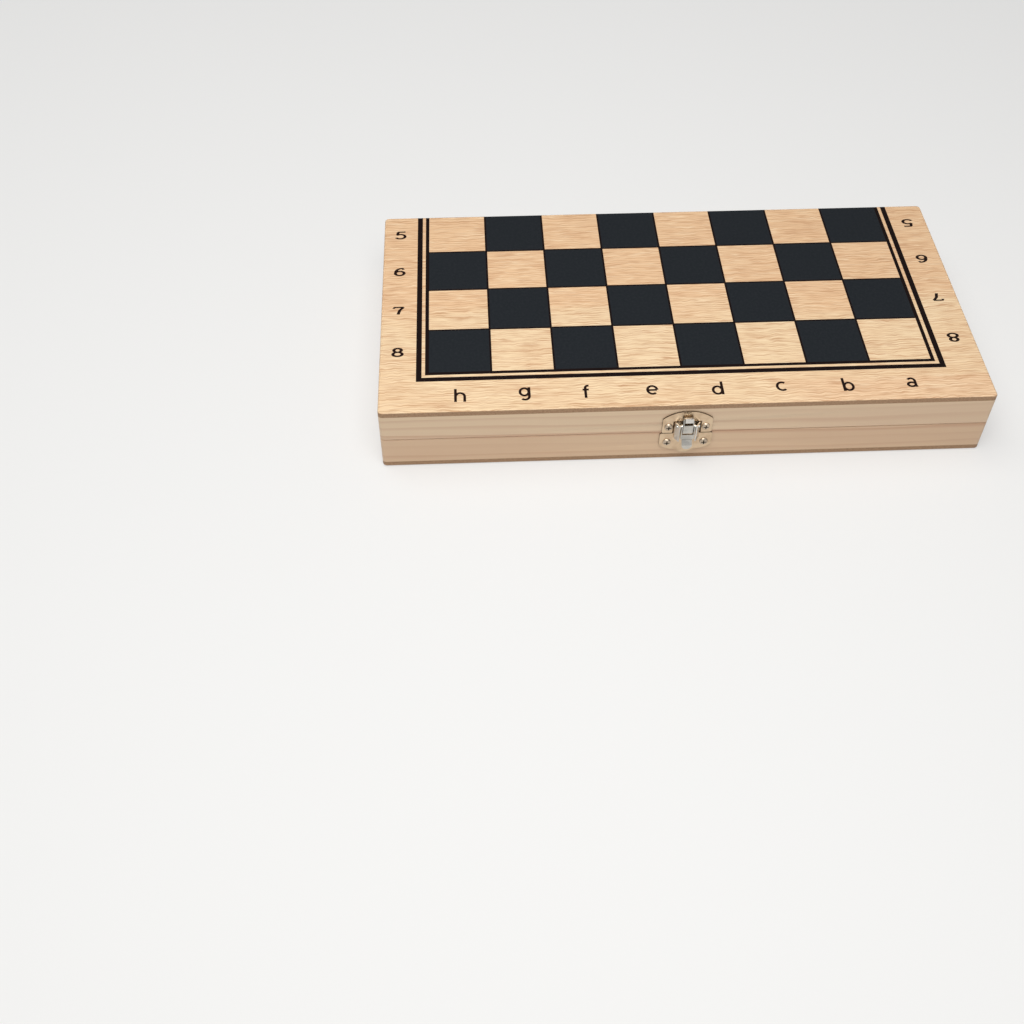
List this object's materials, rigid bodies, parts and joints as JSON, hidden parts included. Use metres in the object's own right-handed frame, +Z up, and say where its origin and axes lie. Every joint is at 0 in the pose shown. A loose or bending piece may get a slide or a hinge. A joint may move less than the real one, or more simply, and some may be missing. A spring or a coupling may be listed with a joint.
{
  "type": "folding chess set",
  "caption": "Hinged wooden box whose closed halves carry a chessboard on the outside and hold the chessmen inside, kept shut by a draw latch.",
  "frame": {"origin": "centre of the flat underside of the closed box", "axes": "+X along the hinge line, to the right seen from the latch side; +Y from the latch side towards the hinges; +Z up through the closed box"},
  "size_m": [0.24, 0.1275, 0.03],
  "materials": {
    "board_panel": "printed beech grain with charcoal squares, satin lacquer",
    "wall_wood": "clear-lacquered softwood",
    "latch_metal": "nickel-plated stamped steel",
    "hinge_metal": "brass-plated steel",
    "pale_men": "turned and lacquered pale wood",
    "dark_men": "turned wood, stained dark and lacquered"
  },
  "bodies": {
    "lower_half": {"black_bishop_1": "dark_men", "black_bishop_2": "dark_men", "black_king": "dark_men", "black_knight_1": "dark_men", "black_knight_2": "dark_men", "black_pawn_1": "dark_men", "black_pawn_2": "dark_men", "black_pawn_3": "dark_men", "black_pawn_4": "dark_men", "black_pawn_5": "dark_men", "black_pawn_6": "dark_men", "black_pawn_7": "dark_men", "black_pawn_8": "dark_men", "black_queen": "dark_men", "black_rook_1": "dark_men", "black_rook_2": "dark_men", "latch_base_plate": "latch_metal", "latch_base_screws": "latch_metal", "left_hinge_lower_leaf": "hinge_metal", "left_hinge_pin": "hinge_metal", "lower_board_panel": "board_panel", "lower_front_wall": "wall_wood", "lower_hinge_screws": "hinge_metal", "lower_left_wall": "wall_wood", "lower_rear_wall": "wall_wood", "lower_right_wall": "wall_wood", "right_hinge_lower_leaf": "hinge_metal", "right_hinge_pin": "hinge_metal", "white_bishop_1": "pale_men", "white_bishop_2": "pale_men", "white_king": "pale_men", "white_knight_1": "pale_men", "white_knight_2": "pale_men", "white_pawn_1": "pale_men", "white_pawn_2": "pale_men", "white_pawn_3": "pale_men", "white_pawn_4": "pale_men", "white_pawn_5": "pale_men", "white_pawn_6": "pale_men", "white_pawn_7": "pale_men", "white_pawn_8": "pale_men", "white_queen": "pale_men", "white_rook_1": "pale_men", "white_rook_2": "pale_men"},
    "upper_half": {"latch_catch_plate": "latch_metal", "latch_catch_screws": "latch_metal", "left_hinge_upper_leaf": "hinge_metal", "right_hinge_upper_leaf": "hinge_metal", "upper_board_panel": "board_panel", "upper_front_wall": "wall_wood", "upper_hinge_screws": "hinge_metal", "upper_left_wall": "wall_wood", "upper_rear_wall": "wall_wood", "upper_right_wall": "wall_wood"},
    "latch_lever": {"latch_lever": "latch_metal", "latch_lever_rivets": "latch_metal", "latch_link_pin": "latch_metal"},
    "latch_link": {"latch_link": "latch_metal"}
  },
  "joints": [
    {"name": "lid_hinge", "type": "hinge", "parent": "lower_half", "child": "upper_half", "pos_m": [0, 0.0609, 0.015], "axis": [-1, 0, 0], "range_deg": [0, 180]},
    {"name": "latch_lever_pivot", "type": "hinge", "parent": "lower_half", "child": "latch_lever", "pos_m": [0, -0.06295, 0.0202], "axis": [-1, 0, 0], "range_deg": [0, 110]},
    {"name": "latch_link_pivot", "type": "hinge", "parent": "latch_lever", "child": "latch_link", "pos_m": [0, -0.0624, 0.0179], "axis": [-1, 0, 0], "range_deg": [-80.5, 0]}
  ],
  "couplings": [
    {"joint": "latch_link_pivot", "follows": "latch_lever_pivot", "ratio": -0.73}
  ]
}
